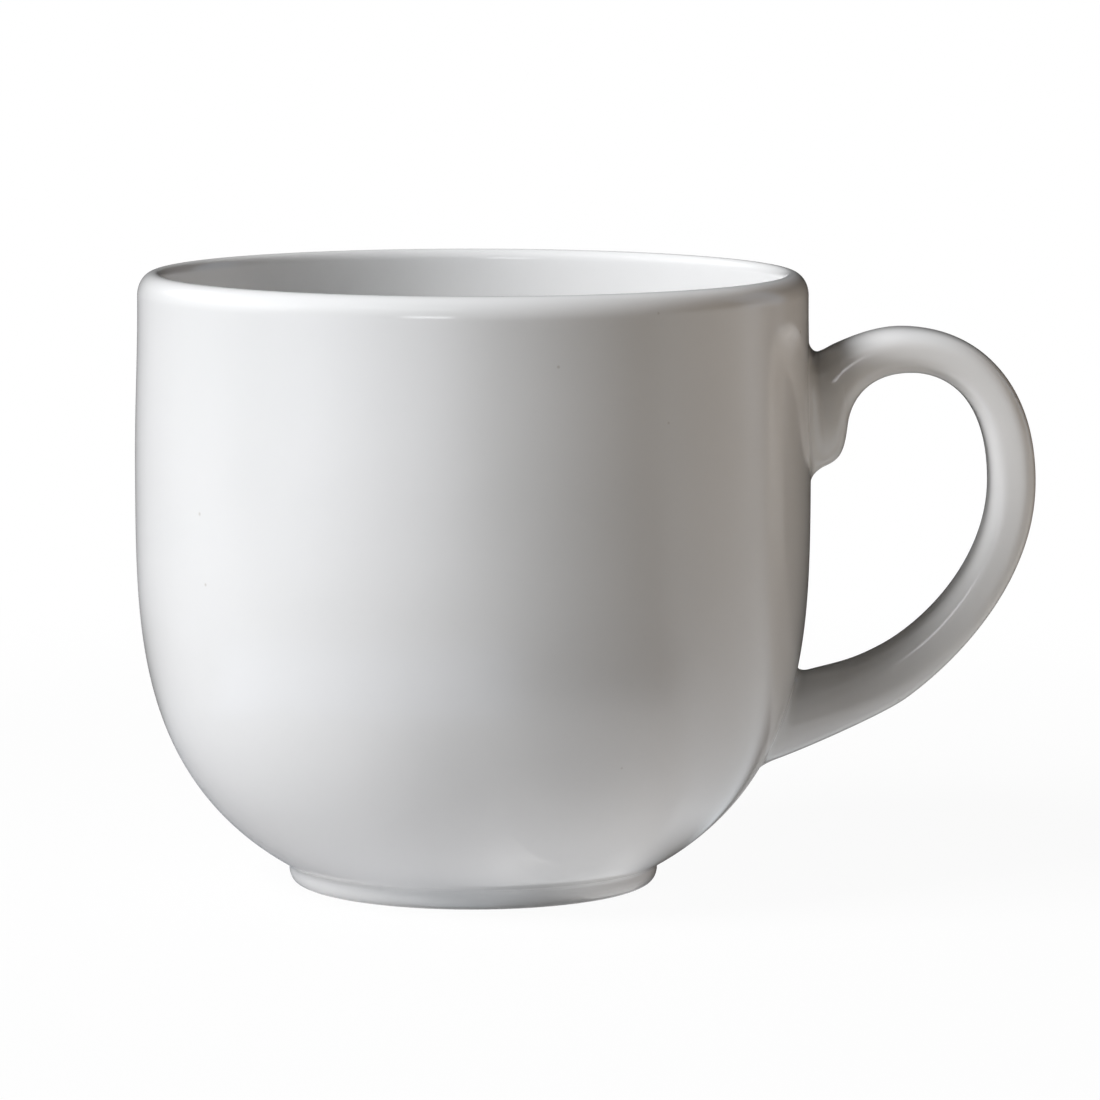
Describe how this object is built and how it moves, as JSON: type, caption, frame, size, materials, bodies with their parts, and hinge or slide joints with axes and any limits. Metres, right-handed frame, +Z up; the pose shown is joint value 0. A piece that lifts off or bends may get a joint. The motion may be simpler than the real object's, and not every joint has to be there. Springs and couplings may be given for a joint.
{
  "type": "mug",
  "caption": "Plain glazed porcelain mug with a rounded bowl, a low foot ring and a loop handle whose upper root ends in a small hanging tongue.",
  "frame": {"origin": "on the cup's axis, in the plane of the foot ring's standing face", "axes": "+Z up along the cup's axis, +X from the cup towards the handle, +Y across the handle"},
  "size_m": [0.1202, 0.09, 0.0817],
  "materials": {
    "white_glaze": "clear glossy glaze over white porcelain",
    "glazed_slip": "clear glossy glaze over sponged slip"
  },
  "bodies": {
    "root": {"cup_body": "white_glaze", "handle": "white_glaze", "upper_slip_joint": "glazed_slip", "lower_slip_joint": "glazed_slip"}
  },
  "joints": []
}
